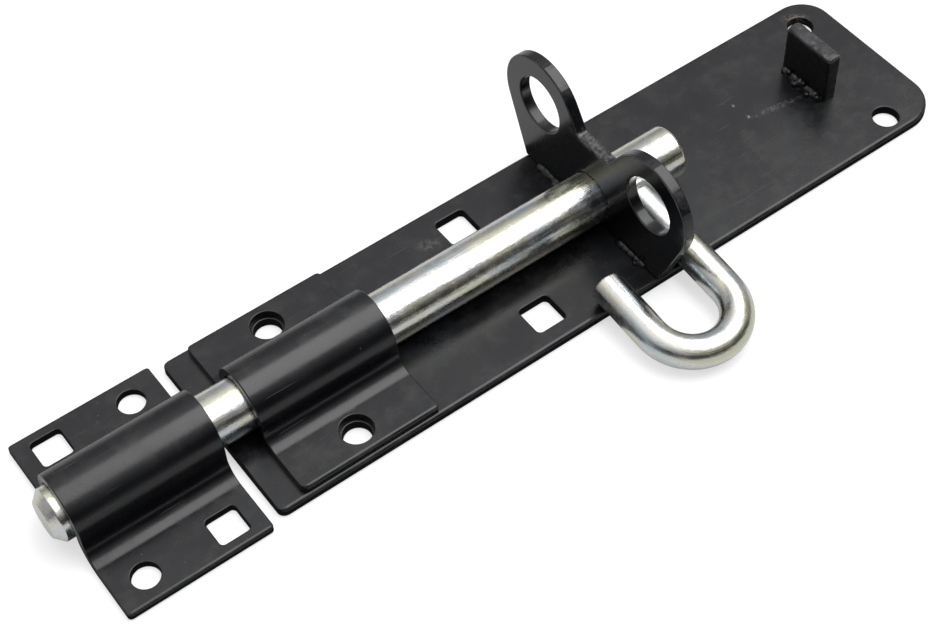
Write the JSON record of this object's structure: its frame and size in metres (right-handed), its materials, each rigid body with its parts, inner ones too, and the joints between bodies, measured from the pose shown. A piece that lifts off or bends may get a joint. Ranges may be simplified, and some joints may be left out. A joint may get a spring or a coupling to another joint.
{
  "type": "toggle bolt latch",
  "caption": "Padlockable toggle bolt latch: a round bar slides through a strap guide and eared bracket on a long plate into a separate keep, locked by a U-shaped handle.",
  "frame": {"origin": "centre of the back plate's rear face, under the bar's axis", "axes": "+X along the bar from the keep towards the plate's tail, +Y across the plate away from the side the handle hangs on, +Z out of the mounting surface"},
  "size_m": [0.292, 0.1053, 0.0451],
  "materials": {
    "black_paint": "satin black paint",
    "bright_zinc": "bright zinc plating with fine lengthwise marks"
  },
  "bodies": {
    "latch_plate": {"back_plate": "black_paint", "front_guide": "black_paint", "ear_bracket": "black_paint", "bracket_weld_near": "black_paint", "bracket_weld_far": "black_paint", "stop_lug": "black_paint", "lug_weld": "black_paint"},
    "sliding_bar": {"bolt_rod": "bright_zinc"},
    "handle": {"toggle_handle": "bright_zinc", "handle_weld": "bright_zinc"},
    "keep": {"keep_arch": "black_paint", "keep_flange_far": "black_paint", "keep_flange_near": "black_paint"}
  },
  "joints": [
    {"name": "bar_slide", "type": "slide", "parent": "latch_plate", "child": "sliding_bar", "axis": [1, 0, 0], "range_m": [0, 0.0104]},
    {"name": "handle_turn", "type": "hinge", "parent": "sliding_bar", "child": "handle", "pos_m": [0.0189, 0, 0.01135], "axis": [-1, 0, 0], "range_deg": [0, 191]},
    {"name": "keep_lift_off", "type": "slide", "parent": "latch_plate", "child": "keep", "axis": [-1, 0, 0], "range_m": [0, 0.06]}
  ]
}
